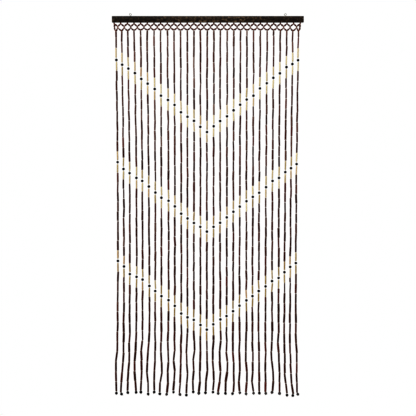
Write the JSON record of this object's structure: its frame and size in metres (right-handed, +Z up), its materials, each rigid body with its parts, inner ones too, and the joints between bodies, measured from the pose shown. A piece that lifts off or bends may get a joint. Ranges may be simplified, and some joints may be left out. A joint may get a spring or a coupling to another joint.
{
  "type": "wooden bead door curtain with its hanging rail",
  "caption": "Door curtain of wooden tube beads strung on cords, with pale bands and black beads in chevrons, under a stained rail with screw eyes.",
  "frame": {"origin": "midway between the centres of the two screw eyes' rings, where the curtain hangs", "axes": "+X along the rail to the viewer's right, +Z up, -Y towards the viewer"},
  "size_m": [0.9, 0.016, 1.8012],
  "materials": {
    "stained_wood": "black-brown stain, satin",
    "eye_steel": "dull zinc",
    "dark_tubes": "dark brown stained tube, satin",
    "pale_tubes": "natural straw-coloured tube, satin",
    "black_beads": "black lacquered round bead",
    "string": "twisted cord"
  },
  "bodies": {
    "root": {"rail": "stained_wood", "eye_left": "eye_steel", "eye_right": "eye_steel", "bead_net": "dark_tubes"}
  },
  "joints": []
}
